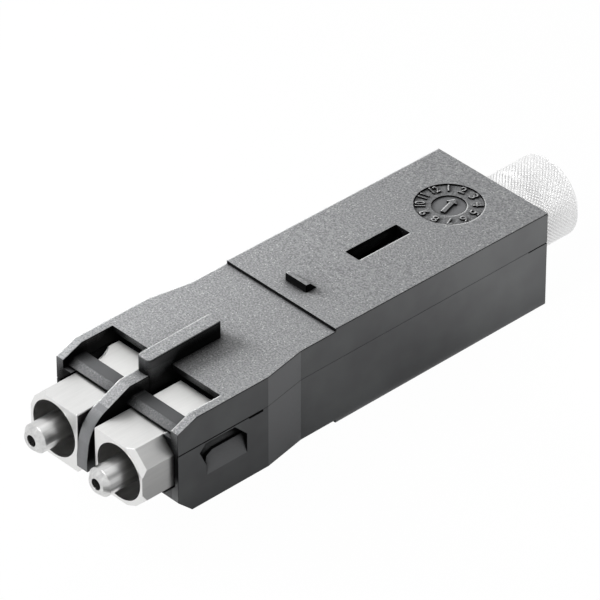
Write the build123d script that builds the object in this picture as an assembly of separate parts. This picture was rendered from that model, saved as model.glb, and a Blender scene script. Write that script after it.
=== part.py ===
from build123d import *
import os
from math import degrees, sqrt

# Duplex fibre plug insert: two sprung metal ferrules in square metal housings,
# held side by side in a two-shell snap-together plastic casing with a knurled
# metal crimp neck at the rear. Millimetres, +Y towards the cable, +Z up.
# While building, Y is counted from the step between the wide front body and
# the rear body, and Z from the underside. The finished parts are moved so that
# the origin is the middle of the footprint.

# Overall casing
REAR_LENGTH = 23.3
REAR_WIDTH = 12.5
REAR_TOP = 9.15
REAR_TOP_DRAFT = 0.25
FRONT_WIDTH = 14.0
FRONT_TOP = 8.87
FRONT_UNDERSIDE = 0.25
FRONT_END_Y = -17.25
TAPER_FRONT_Y = -7.85
TAPER_REAR_Y = -3.7
PARTING_Z = 6.07
SEAM_GAP = 0.08
SEAM_DEPTH = 0.08
SEAM_REAR_LENGTH = 2.1

# Channels
PITCH = 7.5
AXIS_Z = 4.5
CHANNEL_SIDES = {"left": -1, "right": 1}

# Square metal housings
HEAD_SIDE = 5.5
HEAD_FACE_Y = -20.45
HEAD_BACK_Y = -16.6
SQUARE_END_Y = -11.6
SIDE_RELIEF = 0.45
CORNER_CHAMFER = 1.3
CHAMFER_END_Y = -14.5
CHAMFER_CUTTER_R = 3.0
LEAD_BEVEL = 0.45
EDGE_BREAK = 0.08
RIM_BREAK = 0.05
BARREL_D = 4.7
BARREL_END_Y = -7.4
SLEEVE_BORE_D = 4.92
SLEEVE_BORE_DEPTH = 6.0
SPRING_BORE_D = 4.2
WEB = 1.35

# Ferrules
FERRULE_D = 2.5
FERRULE_TIP_Y = -22.78
TIP_CHAMFER = 0.42
FIBRE_HOLE_D = 1.0
GUIDE_D = 3.4
GUIDE_LEAD = 0.15
COLLAR_D = 4.0
COLLAR_LENGTH = 1.1
TAIL_D = 2.8
TAIL_END_Y = -4.6
JACKET_BORE_D = 2.25
JACKET_BORE_DEPTH = 5.0

# Springs, stop bushes and crimp rings
SPRING_D = 3.9
SPRING_WIRE = 0.4
SPRING_COILS = 3.5
WIRE_FACETS = 6
STOP_LENGTH = 1.2
STOP_FLANGE_D = 5.9
STOP_FLANGE = 0.8
STOP_FLAT_HALF = 2.5
CRIMP_RING_D = 3.6
CRIMP_RING_LENGTH = 1.8
CRIMP_RING_GAP = 0.15

# Fits between the pieces
RUN_FIT = 0.03
SLIDE_FIT = 0.1
SEAT_FIT = 0.02

# Openings over the housings
PARTITION = 1.2
WINDOW_OUTER_X = 6.2
WINDOW_REAR_Y = -12.1
BAR_REAR_Y = -15.0
BAR_FRONT_Y = -16.8
BAR_RIDGE_Y = -16.15
BAR_TOP = 7.87
BAR_LIP = 0.13
LEDGE_Z = 7.32
ROOF_EDGE_Z = 8.33
ROOF_POCKET = 0.8

# Front edge of the side walls
WALL_SLOPE_Y = -15.3
WALL_SLOPE_DROP = 0.75
TOE_CHAMFER_Y = 1.4
TOE_CHAMFER_Z = 1.3

# Partition nose and key rib
NOSE_Y = -20.9
NOSE_FOOT_Z = 2.9
NOSE_TOP_Y = -16.4
NOSE_KNEE_Y = -19.1
NOSE_KNEE_Z = 7.65
NOSE_BELLY_Y = -20.25
NOSE_BELLY_Z = 6.5
NOSE_SHIN_Z = 4.9
NOSE_SHIN_BACK = 0.15
PARTITION_END_Y = -12.9
RIB_FRONT_Y = -14.55
RIB_REAR_Y = -6.95
RIB_WIDTH = 1.4
RIB_TOP = 10.42
RIB_FALL = 0.14
RIB_ROUND = 0.4
RIB_REAR_ROUND = 0.15
RIB_EDGE = 0.06

# Side snap windows
SNAP_REAR_Y = -10.1
SNAP_FRONT_Y = -15.0
SNAP_TOP_Z = 5.85
SNAP_RAMP_TOP_Z = 4.6
SNAP_RAMP_FOOT_Z = 2.8
SNAP_RAMP_FRONT_Y = -14.3
SNAP_DEPTH = 0.55
SNAP_ROUND = 0.9
PRY_FRONT_Y = -9.85
PRY_REAR_Y = -8.4
PRY_HEIGHT = 0.2
PRY_DEPTH = 0.35

# Latch nose, slot and date dial on the rear body
LATCH_Y = 1.6
LATCH_HEIGHT = 0.7
LATCH_WIDTH = 2.35
LATCH_FLAT = 0.47
LATCH_FALL = 0.08
SLOT_WIDTH = 1.6
SLOT_LENGTH = 5.6
SLOT_INSET = 10.0
SLOT_REAR_Y = REAR_LENGTH - SLOT_INSET
DIAL_INSET = 4.9
DIAL_Y = REAR_LENGTH - DIAL_INSET
DIAL_D = 5.76
DIAL_DEPTH = 0.15
DIAL_HUB_D = 2.9
DIAL_HUB_DEPTH = 0.12

# Rear cavity
CAVITY_FRONT_Y = -2.5
CAVITY_INSET = 5.1
CAVITY_REAR_Y = REAR_LENGTH - CAVITY_INSET
CAVITY_HALF = 5.1
CAVITY_FLOOR = 1.1
CAVITY_ROOF = 7.9
TAIL_ROOM_R = 2.2
DIVIDER = 1.0
DIVIDER_END_Y = 6.2
PEG_D = 1.4
PEG_HEIGHT = 1.1
PEG_BOSS_D = 2.6
PEG_X = 3.7
PEG_INSET = 7.7
PEG_Y = REAR_LENGTH - PEG_INSET

# Crimp neck
NECK_D = 7.3
NECK_STANDOUT = 6.45
NECK_END_Y = REAR_LENGTH + NECK_STANDOUT
NECK_BORE_D = 5.0
NECK_WAIST_D = 6.0
NECK_FLANGE_D = 7.2
NECK_FLANGE_INSET = 3.4
NECK_FLANGE_Y = REAR_LENGTH - NECK_FLANGE_INSET
NECK_FLANGE = 1.2
NECK_FRONT_D = 5.8
NECK_FRONT_LENGTH = 1.3
NECK_FRONT_Y = NECK_FLANGE_Y - NECK_FRONT_LENGTH
NECK_END_CHAMFER = 0.25
NECK_MOUTH_CHAMFER = 0.2

# Worked-out places
FERRULE_SEAT_Y = HEAD_FACE_Y + SLEEVE_BORE_DEPTH + WEB
SPRING_FRONT_Y = FERRULE_SEAT_Y + COLLAR_LENGTH
STOP_FRONT_Y = BARREL_END_Y - STOP_LENGTH
STOP_END_Y = BARREL_END_Y + STOP_FLANGE
ORIGIN_Y = (FERRULE_TIP_Y + NECK_END_Y) / 2
REACH = NECK_END_Y - FERRULE_TIP_Y


def span_box(x0, x1, y0, y1, z0, z1):
    """Box between two corners."""
    middle = Location(((x0 + x1) / 2, (y0 + y1) / 2, (z0 + z1) / 2))
    return middle * Box(abs(x1 - x0), abs(y1 - y0), abs(z1 - z0))


def y_rod(diameter, y0, y1, x=0.0, z=AXIS_Z):
    """Round bar along Y."""
    middle = Location((x, (y0 + y1) / 2, z), (90, 0, 0))
    return middle * Cylinder(diameter / 2, y1 - y0)


def z_post(diameter, x, z0, z1):
    """Upright round post or hole beside the rear cavity's wall."""
    return Location((x, PEG_Y, (z0 + z1) / 2)) * Cylinder(diameter / 2, z1 - z0)


def side_prism(points, x0, x1):
    """Polygon drawn in (y, z) and pushed along X from x0 to x1."""
    face = Plane.YZ * make_face(Polyline(*points, close=True).edges())
    return Location((x0, 0, 0)) * extrude(face, x1 - x0, dir=(1, 0, 0))


def turned(points, x=0.0):
    """Closed (radius, y) outline turned about the channel or neck axis."""
    face = make_face(Polyline(*points, close=True).edges())
    return Location((x, 0, AXIS_Z)) * revolve(face, Axis.Y)


def slotted_rod(diameter, y0, y1, x=0.0):
    """Round seat open upwards to the parting plane, so a bar drops in."""
    low = y_rod(diameter, y0, y1, x)
    return low + span_box(x - diameter / 2, x + diameter / 2, y0, y1, AXIS_Z, PARTING_Z)


def casing_blank():
    """Outside of both shells together, before any opening."""
    half_front = FRONT_WIDTH / 2
    half_rear = REAR_WIDTH / 2
    plan = [
        (-half_front, FRONT_END_Y), (half_front, FRONT_END_Y), (half_front, TAPER_FRONT_Y),
        (half_rear, TAPER_REAR_Y), (half_rear, 0), (-half_rear, 0),
        (-half_rear, TAPER_REAR_Y), (-half_front, TAPER_FRONT_Y),
    ]
    front = extrude(make_face(Polyline(*plan, close=True).edges()), FRONT_TOP - FRONT_UNDERSIDE)
    front = Location((0, 0, FRONT_UNDERSIDE)) * front
    rear = side_prism(
        [(0, 0), (REAR_LENGTH, 0), (REAR_LENGTH, REAR_TOP - REAR_TOP_DRAFT), (0, REAR_TOP)],
        -half_rear, half_rear,
    )
    toe = side_prism(
        [
            (FRONT_END_Y, FRONT_UNDERSIDE), (FRONT_END_Y + TOE_CHAMFER_Y, FRONT_UNDERSIDE),
            (FRONT_END_Y, FRONT_UNDERSIDE + TOE_CHAMFER_Z),
        ],
        -half_front, half_front,
    )
    brow = side_prism(
        [
            (WALL_SLOPE_Y, FRONT_TOP), (FRONT_END_Y, FRONT_TOP - WALL_SLOPE_DROP),
            (FRONT_END_Y, FRONT_TOP),
        ],
        -half_front, half_front,
    )
    return front + rear - toe - brow


def head_bar(side, y0, y1, clearance):
    """Bar of the housing's front section: a square with its two outer corners cut off."""
    half = HEAD_SIDE / 2 + clearance
    cut = half - CORNER_CHAMFER
    corners = [(-half, -half), (cut, -half), (half, -cut), (half, cut), (cut, half), (-half, half)]
    centre = side * PITCH / 2
    outline = [(centre + side * px, 0, AXIS_Z + pz) for px, pz in corners]
    face = make_face(Polyline(*outline, close=True).edges())
    return Location((0, y0, 0)) * extrude(face, y1 - y0, dir=(0, 1, 0))


def full_bar(side, y0, y1, clearance=0.0):
    """Housing bar with sharp corners, relieved on its outer side."""
    centre = side * PITCH / 2
    half = HEAD_SIDE / 2 + clearance
    inner = centre - side * half
    outer = centre + side * (half - SIDE_RELIEF)
    return span_box(min(inner, outer), max(inner, outer), y0, y1, AXIS_Z - half, AXIS_Z + half)


def corner_cutter(side, up):
    """Milled flat over an outer corner, ending in the cutter's round run-out."""
    half = HEAD_SIDE / 2
    reach = half * sqrt(2) - CORNER_CHAMFER / sqrt(2)
    length = CHAMFER_END_Y - HEAD_FACE_Y + 1
    flat = Location((0, HEAD_FACE_Y - 1 + length / 2, reach + CHAMFER_CUTTER_R))
    mill = Location((0, CHAMFER_END_Y, reach + CHAMFER_CUTTER_R), (0, 90, 0))
    shape = flat * Box(3 * half, length, 2 * CHAMFER_CUTTER_R)
    shape += mill * Cylinder(CHAMFER_CUTTER_R, 3 * half)
    bevel_side = LEAD_BEVEL * sqrt(2)
    bevel = Location((0, HEAD_FACE_Y, reach), (45, 0, 0)) * Box(3 * half, bevel_side, bevel_side)
    lean = side * (45 if up > 0 else 135)
    return Location((side * PITCH / 2, 0, AXIS_Z), (0, lean, 0)) * (shape + bevel)


def make_housing(side):
    """Square housing: front sleeve bore, web, spring bore and round barrel."""
    x = side * PITCH / 2
    body = full_bar(side, HEAD_BACK_Y, SQUARE_END_Y)
    body += span_box(
        x - HEAD_SIDE / 2, x + HEAD_SIDE / 2, HEAD_FACE_Y, HEAD_BACK_Y,
        AXIS_Z - HEAD_SIDE / 2, AXIS_Z + HEAD_SIDE / 2,
    )
    inner_x = x - side * HEAD_SIDE / 2
    inner_edges = body.edges().filter_by(Axis.Y).filter_by(lambda e: abs(e.center().X - inner_x) < 0.01)
    body = chamfer(inner_edges, EDGE_BREAK)
    body += y_rod(BARREL_D, SQUARE_END_Y, BARREL_END_Y, x)
    for up in (-1, 1):
        body -= corner_cutter(side, up)
    web_y = HEAD_FACE_Y + SLEEVE_BORE_DEPTH
    body -= y_rod(SLEEVE_BORE_D, HEAD_FACE_Y, web_y, x)
    body -= y_rod(GUIDE_D + 2 * RUN_FIT, web_y, FERRULE_SEAT_Y, x)
    body -= y_rod(SPRING_BORE_D, FERRULE_SEAT_Y, BARREL_END_Y, x)
    return chamfer(body.faces().sort_by(Axis.Y)[0].outer_wire().edges(), RIM_BREAK)


def make_ferrule(side):
    """Ferrule with tip chamfer, guide, seating collar and fibre-gripping tail."""
    r = FERRULE_D / 2
    guide = GUIDE_D / 2
    guide_y = FERRULE_SEAT_Y - WEB - GUIDE_LEAD
    hole = FIBRE_HOLE_D / 2
    jacket = JACKET_BORE_D / 2
    jacket_y = TAIL_END_Y - JACKET_BORE_DEPTH
    outline = [
        (hole, FERRULE_TIP_Y), (r - TIP_CHAMFER, FERRULE_TIP_Y), (r, FERRULE_TIP_Y + TIP_CHAMFER),
        (r, guide_y), (guide, guide_y), (guide, FERRULE_SEAT_Y),
        (COLLAR_D / 2, FERRULE_SEAT_Y), (COLLAR_D / 2, SPRING_FRONT_Y),
        (TAIL_D / 2, SPRING_FRONT_Y), (TAIL_D / 2, TAIL_END_Y), (jacket, TAIL_END_Y),
        (jacket, jacket_y), (hole, jacket_y - (jacket - hole)),
    ]
    return turned(outline, side * PITCH / 2)


def make_spring(side):
    """Helical compression spring between the collar and the stop bush."""
    r = (SPRING_D - SPRING_WIRE) / 2
    start = SPRING_FRONT_Y + SPRING_WIRE / 2
    height = STOP_FRONT_Y - SPRING_FRONT_Y - SPRING_WIRE
    path = Helix(height / SPRING_COILS, height, r)
    section = Plane(origin=path @ 0, z_dir=path % 0) * RegularPolygon(SPRING_WIRE / 2, WIRE_FACETS)
    coil = sweep(section, path, is_frenet=True)
    return Location((side * PITCH / 2, start, AXIS_Z), (-90, 0, 0)) * coil


def make_stop_bush(side):
    """Flanged bush that closes the barrel and carries the spring."""
    hole = TAIL_D / 2 + SLIDE_FIT
    plug = SPRING_BORE_D / 2 - SEAT_FIT
    flange = STOP_FLANGE_D / 2
    bush = turned(
        [
            (hole, STOP_FRONT_Y), (plug, STOP_FRONT_Y), (plug, BARREL_END_Y),
            (flange, BARREL_END_Y), (flange, STOP_END_Y), (hole, STOP_END_Y),
        ],
        side * PITCH / 2,
    )
    x = side * PITCH / 2
    return bush & span_box(
        x - STOP_FLAT_HALF, x + STOP_FLAT_HALF, STOP_FRONT_Y, STOP_END_Y,
        AXIS_Z - flange, AXIS_Z + flange,
    )


def make_crimp_ring(side):
    """Ring on the ferrule's tail that grips the fibre jacket."""
    front = STOP_END_Y + CRIMP_RING_GAP
    rear = front + CRIMP_RING_LENGTH
    inner = TAIL_D / 2 + SEAT_FIT
    outer = CRIMP_RING_D / 2
    return turned([(inner, front), (outer, front), (outer, rear), (inner, rear)], side * PITCH / 2)


def make_neck():
    """Crimp neck: bored tube with a flange locked between the shells."""
    bore = NECK_BORE_D / 2
    end = NECK_D / 2
    flange_end = NECK_FLANGE_Y + NECK_FLANGE
    return turned(
        [
            (bore, NECK_FRONT_Y + NECK_MOUTH_CHAMFER), (bore + NECK_MOUTH_CHAMFER, NECK_FRONT_Y),
            (NECK_FRONT_D / 2, NECK_FRONT_Y), (NECK_FRONT_D / 2, NECK_FLANGE_Y),
            (NECK_FLANGE_D / 2, NECK_FLANGE_Y), (NECK_FLANGE_D / 2, flange_end),
            (NECK_WAIST_D / 2, flange_end), (NECK_WAIST_D / 2, REAR_LENGTH + SEAT_FIT),
            (end, REAR_LENGTH + SEAT_FIT), (end, NECK_END_Y - NECK_END_CHAMFER),
            (end - NECK_END_CHAMFER, NECK_END_Y), (bore, NECK_END_Y),
        ]
    )


def round_pockets(seat):
    """Room for the barrels, bush flanges, tails and neck, cut with one seat shape."""
    pockets = []
    for side in CHANNEL_SIDES.values():
        x = side * PITCH / 2
        flange_front = BARREL_END_Y - SLIDE_FIT / 2
        flange_rear = STOP_END_Y + SLIDE_FIT / 2
        pockets.append(seat(BARREL_D + 2 * SLIDE_FIT, SQUARE_END_Y, flange_front, x))
        flange = seat(STOP_FLANGE_D + 2 * SLIDE_FIT, flange_front, flange_rear, x)
        half = STOP_FLAT_HALF + SLIDE_FIT
        pockets.append(flange & span_box(x - half, x + half, flange_front, flange_rear, 0, FRONT_TOP))
        pockets.append(seat(2 * TAIL_ROOM_R, flange_rear, CAVITY_FRONT_Y, x))
    flange_front = NECK_FLANGE_Y - SEAT_FIT
    flange_rear = NECK_FLANGE_Y + NECK_FLANGE + SEAT_FIT
    pockets.append(seat(NECK_FRONT_D + 2 * SLIDE_FIT, CAVITY_REAR_Y, flange_front, 0))
    pockets.append(seat(NECK_FLANGE_D + 2 * SLIDE_FIT, flange_front, flange_rear, 0))
    pockets.append(seat(NECK_WAIST_D + 2 * SLIDE_FIT, flange_rear, REAR_LENGTH, 0))
    return pockets


def square_tunnels():
    """Room around both square housings, open at the front."""
    room = []
    for side in CHANNEL_SIDES.values():
        room.append(head_bar(side, FRONT_END_Y - 1, HEAD_BACK_Y + SLIDE_FIT, SLIDE_FIT))
        room.append(full_bar(side, HEAD_BACK_Y + SLIDE_FIT, SQUARE_END_Y + SLIDE_FIT, SLIDE_FIT))
    return room


def rear_cavity():
    """Hollow of the rear body where the two fibres come together."""
    return span_box(-CAVITY_HALF, CAVITY_HALF, CAVITY_FRONT_Y, CAVITY_REAR_Y, CAVITY_FLOOR, CAVITY_ROOF)


def snap_window(side):
    """Round-ended recess in the side wall over a lead-in ramp."""
    face = FRONT_WIDTH / 2
    middle_z = (SNAP_TOP_Z + SNAP_RAMP_TOP_Z) / 2
    lean = (SNAP_TOP_Z - SNAP_RAMP_TOP_Z)
    outline = [
        (SNAP_FRONT_Y, middle_z), (SNAP_FRONT_Y + lean / 2, SNAP_TOP_Z),
        (SNAP_REAR_Y - lean, SNAP_TOP_Z), (SNAP_REAR_Y, SNAP_RAMP_TOP_Z),
        (SNAP_RAMP_FRONT_Y + SNAP_ROUND, SNAP_RAMP_TOP_Z),
        (SNAP_RAMP_FRONT_Y + SNAP_ROUND / 4, SNAP_RAMP_TOP_Z - SNAP_ROUND / 3),
        (SNAP_RAMP_FRONT_Y, SNAP_RAMP_TOP_Z - SNAP_ROUND),
    ]
    inner = side * (face - SNAP_DEPTH)
    outer = side * (face + 1)
    recess = side_prism(outline, min(inner, outer), max(inner, outer))
    ramp_head = side * (face - 0.7 * SNAP_DEPTH)
    ramp_section = [
        (side * face, SNAP_RAMP_FOOT_Z), (outer, SNAP_RAMP_FOOT_Z),
        (outer, SNAP_RAMP_TOP_Z + 0.01), (ramp_head, SNAP_RAMP_TOP_Z + 0.01),
    ]
    wedge = make_face(Polyline(*[(px, 0, pz) for px, pz in ramp_section], close=True).edges())
    ramp = extrude(wedge, SNAP_REAR_Y - SNAP_RAMP_FRONT_Y, dir=(0, 1, 0))
    return recess + Location((0, SNAP_RAMP_FRONT_Y, 0)) * ramp


def seam_groove(side):
    """Thin open line under the parting plane, at the front and at the rear end."""
    low = PARTING_Z - SEAM_GAP
    front = side * (FRONT_WIDTH / 2 - SEAM_DEPTH)
    rear = side * (REAR_WIDTH / 2 - SEAM_DEPTH)
    far = side * FRONT_WIDTH
    rear_y = REAR_LENGTH - SEAM_REAR_LENGTH
    groove = span_box(min(front, far), max(front, far), FRONT_END_Y - 1, PRY_REAR_Y, low, PARTING_Z)
    return groove + span_box(min(rear, far), max(rear, far), rear_y, REAR_LENGTH + 1, low, PARTING_Z)


def make_lower_shell():
    """Floor, side walls up to the parting plane, seats, divider and pegs."""
    shell = casing_blank() & span_box(-REACH, REACH, -REACH, REACH, 0, PARTING_Z)
    for pocket in round_pockets(slotted_rod) + square_tunnels():
        shell -= pocket
    shell -= rear_cavity()
    low = AXIS_Z - HEAD_SIDE / 2 - SLIDE_FIT
    shell -= span_box(-PITCH / 2, PITCH / 2, FRONT_END_Y - 1, SQUARE_END_Y + SLIDE_FIT, low, PARTING_Z)
    for side in CHANNEL_SIDES.values():
        shell -= snap_window(side)
        shell -= seam_groove(side)
        face = side * FRONT_WIDTH / 2
        inner = face - side * PRY_DEPTH
        pry_low = PARTING_Z - PRY_HEIGHT
        shell -= span_box(min(inner, face), max(inner, face), PRY_FRONT_Y, PRY_REAR_Y, pry_low, PARTING_Z)
        shell += z_post(PEG_BOSS_D, side * PEG_X, CAVITY_FLOOR, PARTING_Z)
        shell += z_post(PEG_D, side * PEG_X, PARTING_Z, PARTING_Z + PEG_HEIGHT)
    shell += span_box(-DIVIDER / 2, DIVIDER / 2, CAVITY_FRONT_Y, DIVIDER_END_Y, CAVITY_FLOOR, PARTING_Z)
    return shell


def partition_plate():
    """Wall between the channels with its curved nose."""
    floor = AXIS_Z - HEAD_SIDE / 2
    knee = (NOSE_KNEE_Y, NOSE_KNEE_Z)
    shin = (NOSE_Y + NOSE_SHIN_BACK, NOSE_SHIN_Z)
    outline = [
        Polyline((RIB_REAR_Y, LEDGE_Z), (RIB_REAR_Y, FRONT_TOP), (NOSE_TOP_Y, FRONT_TOP), knee),
        ThreePointArc(knee, (NOSE_BELLY_Y, NOSE_BELLY_Z), shin),
        Polyline(shin, (NOSE_Y, (NOSE_SHIN_Z + NOSE_FOOT_Z) / 2), (NOSE_Y, NOSE_FOOT_Z),
                 (FRONT_END_Y, NOSE_FOOT_Z), (FRONT_END_Y, floor), (PARTITION_END_Y, floor),
                 (PARTITION_END_Y, LEDGE_Z), (RIB_REAR_Y, LEDGE_Z)),
    ]
    edges = [edge for line in outline for edge in line.edges()]
    face = Plane.YZ * make_face(edges)
    return Location((-PARTITION / 2, 0, 0)) * extrude(face, PARTITION, dir=(1, 0, 0))


def key_rib():
    """Key on top: its top falls a little to the front, and its corners are round."""
    outline = [
        (RIB_FRONT_Y, LEDGE_Z), (RIB_FRONT_Y, RIB_TOP - RIB_FALL),
        (RIB_REAR_Y, RIB_TOP), (RIB_REAR_Y, LEDGE_Z),
    ]
    rib = side_prism(outline, -RIB_WIDTH / 2, RIB_WIDTH / 2)
    rib = fillet(rib.edges().filter_by(Axis.Z).group_by(Axis.Y)[0], RIB_ROUND)
    rib = fillet(rib.edges().filter_by(Axis.Z).group_by(Axis.Y)[-1], RIB_REAR_ROUND)
    return chamfer(rib.faces().sort_by(Axis.Z)[-1].edges(), RIB_EDGE)


def latch_nose():
    """Low catch with a square face towards the front and a ramp down to the rear."""
    base = REAR_TOP - 2 * REAR_TOP_DRAFT
    tip = REAR_TOP + LATCH_HEIGHT
    flat_end = LATCH_Y + LATCH_FLAT
    ramp_top = tip - LATCH_FALL
    ramp_end = flat_end + ramp_top - base
    outline = [(LATCH_Y, base), (LATCH_Y, tip), (flat_end, ramp_top), (ramp_end, base)]
    return side_prism(outline, -LATCH_WIDTH / 2, LATCH_WIDTH / 2)


def make_upper_shell():
    """Cover with side walls, window bars, partition, latch nose and dial seat."""
    shell = casing_blank() & span_box(-REACH, REACH, -REACH, REACH, PARTING_Z, REACH)
    for pocket in round_pockets(y_rod) + square_tunnels():
        shell -= pocket
    shell -= rear_cavity()
    inner = PARTITION / 2
    tunnel_roof = AXIS_Z + HEAD_SIDE / 2 + SLIDE_FIT
    for side in CHANNEL_SIDES.values():
        x0 = min(side * inner, side * WINDOW_OUTER_X)
        x1 = max(side * inner, side * WINDOW_OUTER_X)
        shell -= span_box(x0, x1, BAR_REAR_Y, WINDOW_REAR_Y, LEDGE_Z, REACH)
        shell -= span_box(x0, x1, BAR_REAR_Y, WINDOW_REAR_Y + ROOF_POCKET, LEDGE_Z, ROOF_EDGE_Z)
        shell -= side_prism(
            [
                (BAR_REAR_Y, BAR_TOP), (BAR_RIDGE_Y, BAR_TOP), (BAR_FRONT_Y, tunnel_roof + BAR_LIP),
                (BAR_FRONT_Y, tunnel_roof), (FRONT_END_Y - 1, tunnel_roof), (FRONT_END_Y - 1, REACH),
                (BAR_REAR_Y, REACH),
            ],
            x0, x1,
        )
        inside = side * (PITCH / 2 - HEAD_SIDE / 2 + SLIDE_FIT)
        gap0 = min(side * inner, inside)
        gap1 = max(side * inner, inside)
        shell -= span_box(gap0, gap1, FRONT_END_Y - 1, SQUARE_END_Y + SLIDE_FIT, PARTING_Z, tunnel_roof)
        shell += z_post(PEG_BOSS_D, side * PEG_X, PARTING_Z, CAVITY_ROOF)
        shell -= z_post(PEG_D + SLIDE_FIT, side * PEG_X, PARTING_Z, PARTING_Z + PEG_HEIGHT + SLIDE_FIT)
    slot_front = SLOT_REAR_Y - SLOT_LENGTH
    shell -= span_box(-SLOT_WIDTH / 2, SLOT_WIDTH / 2, slot_front, SLOT_REAR_Y, CAVITY_ROOF - 1, REACH)
    shell += partition_plate() + key_rib() + latch_nose()
    slope = REAR_TOP_DRAFT / REAR_LENGTH
    dial_top = REAR_TOP - slope * DIAL_Y
    dial = Cylinder(DIAL_D / 2, 2 * DIAL_DEPTH)
    dial += Cylinder(DIAL_HUB_D / 2, 2 * (DIAL_DEPTH + DIAL_HUB_DEPTH))
    shell -= Location((0, DIAL_Y, dial_top), (-degrees(slope), 0, 0)) * dial
    return shell


def save(name, shape):
    """Move a piece to the footprint's middle and write it."""
    placed = Location((0, -ORIGIN_Y, 0)) * shape
    export_step(placed, f"parts/{name}.step")


def main():
    os.makedirs("parts", exist_ok=True)
    save("lower_shell", make_lower_shell())
    save("upper_shell", make_upper_shell())
    save("crimp_neck", make_neck())
    for name, side in CHANNEL_SIDES.items():
        save(f"square_housing_{name}", make_housing(side))
        save(f"ferrule_{name}", make_ferrule(side))
        save(f"ferrule_spring_{name}", make_spring(side))
        save(f"stop_bush_{name}", make_stop_bush(side))
        save(f"fibre_crimp_ring_{name}", make_crimp_ring(side))


main()
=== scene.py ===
"""Looks for a duplex fibre plug insert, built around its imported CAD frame.

The plastic casing, the metal housings and the ferrules keep their CAD shapes
and get finishes. The knurled neck, the springs and the date dial's figures are
modelled here. Blender works in metres, and a name that ends in _mm holds
millimetres. +Y points towards the cable and +Z up.
"""

import logging
import math
from dataclasses import dataclass, field
from enum import Enum
from typing import Any, Iterable, Sequence

import bmesh
import bpy
from mathutils import Matrix, Vector


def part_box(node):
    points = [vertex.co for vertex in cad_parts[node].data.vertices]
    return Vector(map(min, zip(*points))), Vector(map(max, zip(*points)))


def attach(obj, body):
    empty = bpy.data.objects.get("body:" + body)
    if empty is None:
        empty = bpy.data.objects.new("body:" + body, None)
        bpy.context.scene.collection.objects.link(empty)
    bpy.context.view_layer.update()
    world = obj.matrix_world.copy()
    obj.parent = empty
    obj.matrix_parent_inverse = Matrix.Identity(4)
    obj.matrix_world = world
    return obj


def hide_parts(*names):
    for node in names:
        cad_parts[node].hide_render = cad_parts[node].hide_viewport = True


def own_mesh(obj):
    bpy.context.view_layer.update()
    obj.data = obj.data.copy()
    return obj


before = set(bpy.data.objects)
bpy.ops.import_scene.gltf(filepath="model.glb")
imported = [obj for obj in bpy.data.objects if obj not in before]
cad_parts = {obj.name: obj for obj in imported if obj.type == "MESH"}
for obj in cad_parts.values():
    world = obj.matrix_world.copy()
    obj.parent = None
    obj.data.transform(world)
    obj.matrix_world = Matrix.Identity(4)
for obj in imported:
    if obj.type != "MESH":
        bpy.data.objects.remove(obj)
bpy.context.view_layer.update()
MM = 0.001
log = logging.getLogger("fibre_plug")

Material = bpy.types.Material
Node = bpy.types.Node
Object = bpy.types.Object
Socket = bpy.types.NodeSocket
Tree = bpy.types.NodeTree
Point = tuple[float, float, float]

CASING_BODY = "casing"
# Middle of the date dial along the body, for its figures and for its finish.
DIAL_Y_MM = 14.915

# Settings of nodes that multiply, compare or mix.
MULTIPLY = {"operation": "MULTIPLY"}
MAXIMUM = {"operation": "MAXIMUM"}
MIX_COLOURS = {"data_type": "RGBA"}
MULTIPLY_COLOURS = {"data_type": "RGBA", "blend_type": "MULTIPLY"}
# Sockets of a mix node: two inputs and the output, for colours and for values.
COLOUR_A, COLOUR_B, MIXED_COLOUR = 6, 7, 2
VALUE_A, VALUE_B, MIXED_VALUE = 2, 3, 0
BEVEL_SAMPLES = 6
CORNER_SAMPLES = 8
# Openness from which a point gets all of its light.
OPEN_FROM = 0.92


class Side(Enum):
    """The two fibre channels."""

    LEFT = "left"
    RIGHT = "right"


class LampUse(Enum):
    """What a lamp lights."""

    FORM = "form"
    GLOSS = "gloss"


class Lay(Enum):
    """Which way the tool marks run on a metal piece, as a stretch of their pattern."""

    ALONG = (1.0, 0.06, 1.0)
    ROUND = (0.12, 1.0, 0.12)


def linear(colour: str) -> tuple[float, float, float, float]:
    """Turn an sRGB hex colour into linear values.

    Args:
        colour: Six hex digits with a leading hash.

    Returns:
        Red, green, blue and an alpha of 1.
    """
    channels = [int(colour[i : i + 2], 16) / 255 for i in (1, 3, 5)]
    curved = [c / 12.92 if c <= 0.04045 else ((c + 0.055) / 1.055) ** 2.4 for c in channels]
    return curved[0], curved[1], curved[2], 1.0


def add_node(
    tree: Tree,
    kind: str,
    settings: dict[str, Any] | None = None,
    inputs: dict[str | int, Any] | None = None,
    stops: Sequence[tuple[float, str]] = (),
) -> Node:
    """Add one node, with its settings, constants, incoming links and colour stops.

    Args:
        tree: Node tree that the node goes into.
        kind: Blender's name of the node type.
        settings: Attributes set on the node.
        inputs: Values by socket; a socket given here is linked instead.
        stops: Positions with sRGB hex colours, from low to high, on a node with a ramp.

    Returns:
        The new node.
    """
    node = tree.nodes.new(kind)
    for name, value in (settings or {}).items():
        setattr(node, name, value)
    for name, value in (inputs or {}).items():
        if isinstance(value, Socket):
            tree.links.new(value, node.inputs[name])
        else:
            node.inputs[name].default_value = value
    if stops:
        elements = node.color_ramp.elements
        while len(elements) < len(stops):
            elements.new(0.5)
        for element, (position, colour) in zip(elements, stops):
            element.position = position
            element.color = linear(colour)
    return node


def new_material(name: str) -> tuple[Material, Tree]:
    """Empty node material.

    Args:
        name: What the material is.

    Returns:
        The material and its cleared node tree.
    """
    material = bpy.data.materials.new(name)
    material.use_nodes = True
    material.node_tree.nodes.clear()
    return material, material.node_tree


def close_surface(tree: Tree, shader: Node) -> None:
    """Link a shader to the material output."""
    add_node(tree, "ShaderNodeOutputMaterial", inputs={"Surface": shader.outputs[0]})


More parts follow.
